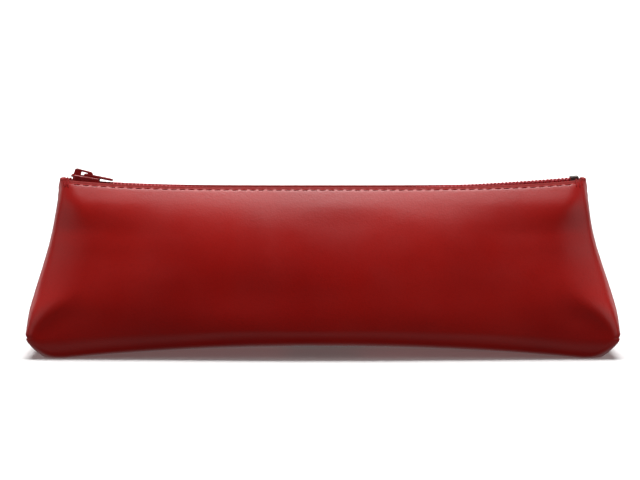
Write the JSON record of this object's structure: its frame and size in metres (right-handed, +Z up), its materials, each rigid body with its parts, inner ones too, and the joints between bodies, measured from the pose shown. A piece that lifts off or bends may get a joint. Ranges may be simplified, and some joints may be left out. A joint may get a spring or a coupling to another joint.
{
  "type": "pencil case",
  "caption": "Long soft leather pouch with boxed lower corners that narrows to a coil zip along its top, with a slider and a small pull tab.",
  "frame": {"origin": "middle of the base, on the surface that the case stands on", "axes": "+X along the zip from its closed end to its open end, +Z up, the front faces -Y"},
  "size_m": [0.222, 0.059, 0.07],
  "materials": {
    "leather": "smooth red leather with a soft sheen",
    "thread": "red polyester thread",
    "zip_tape": "red woven tape",
    "coil": "red nylon coil",
    "cord": "red cord",
    "slider_paint": "dark red enamel",
    "stop_metal": "dull grey metal"
  },
  "bodies": {
    "pouch": {"front_panel": "leather", "back_panel": "leather", "left_side_seam": "thread", "right_side_seam": "thread", "base_seam": "thread", "left_corner_seam": "thread", "right_corner_seam": "thread", "left_bar_tack": "thread", "right_bar_tack": "thread", "front_top_stop": "stop_metal", "back_top_stop": "stop_metal", "bottom_stop": "stop_metal"},
    "slider": {"slider_body": "slider_paint"},
    "tab": {"pull_tab": "slider_paint"},
    "front_lip": {"front_zip_tape": "zip_tape", "front_coil": "coil", "front_coil_cord": "cord", "front_coil_stitch": "thread", "front_top_stitch": "thread"},
    "back_lip": {"back_zip_tape": "zip_tape", "back_coil": "coil", "back_coil_cord": "cord", "back_coil_stitch": "thread", "back_top_stitch": "thread"}
  },
  "joints": [
    {"name": "slider_travel", "type": "hinge", "parent": "pouch", "child": "slider", "pos_m": [-0.005, 0, 1.2415], "axis": [0, -1, 0], "range_deg": [0, 8.69]},
    {"name": "pull_tab_swing", "type": "hinge", "parent": "slider", "child": "tab", "pos_m": [-0.0903, 0, 0.06755], "axis": [0, -1, 0], "range_deg": [0, 150]},
    {"name": "front_lip_flex", "type": "hinge", "parent": "pouch", "child": "front_lip", "pos_m": [0, -0.018, 0.02], "axis": [1, 0, 0], "range_deg": [0, 17], "deforming": ["front_zip_tape", "front_coil", "front_coil_cord", "front_coil_stitch", "front_top_stitch"]},
    {"name": "back_lip_flex", "type": "hinge", "parent": "pouch", "child": "back_lip", "pos_m": [0, 0.018, 0.02], "axis": [-1, 0, 0], "range_deg": [0, 17], "deforming": ["back_zip_tape", "back_coil", "back_coil_cord", "back_coil_stitch", "back_top_stitch"]}
  ],
  "couplings": [
    {"joint": "front_lip_flex", "follows": "slider_travel", "ratio": 1.956},
    {"joint": "back_lip_flex", "follows": "slider_travel", "ratio": 1.956}
  ]
}
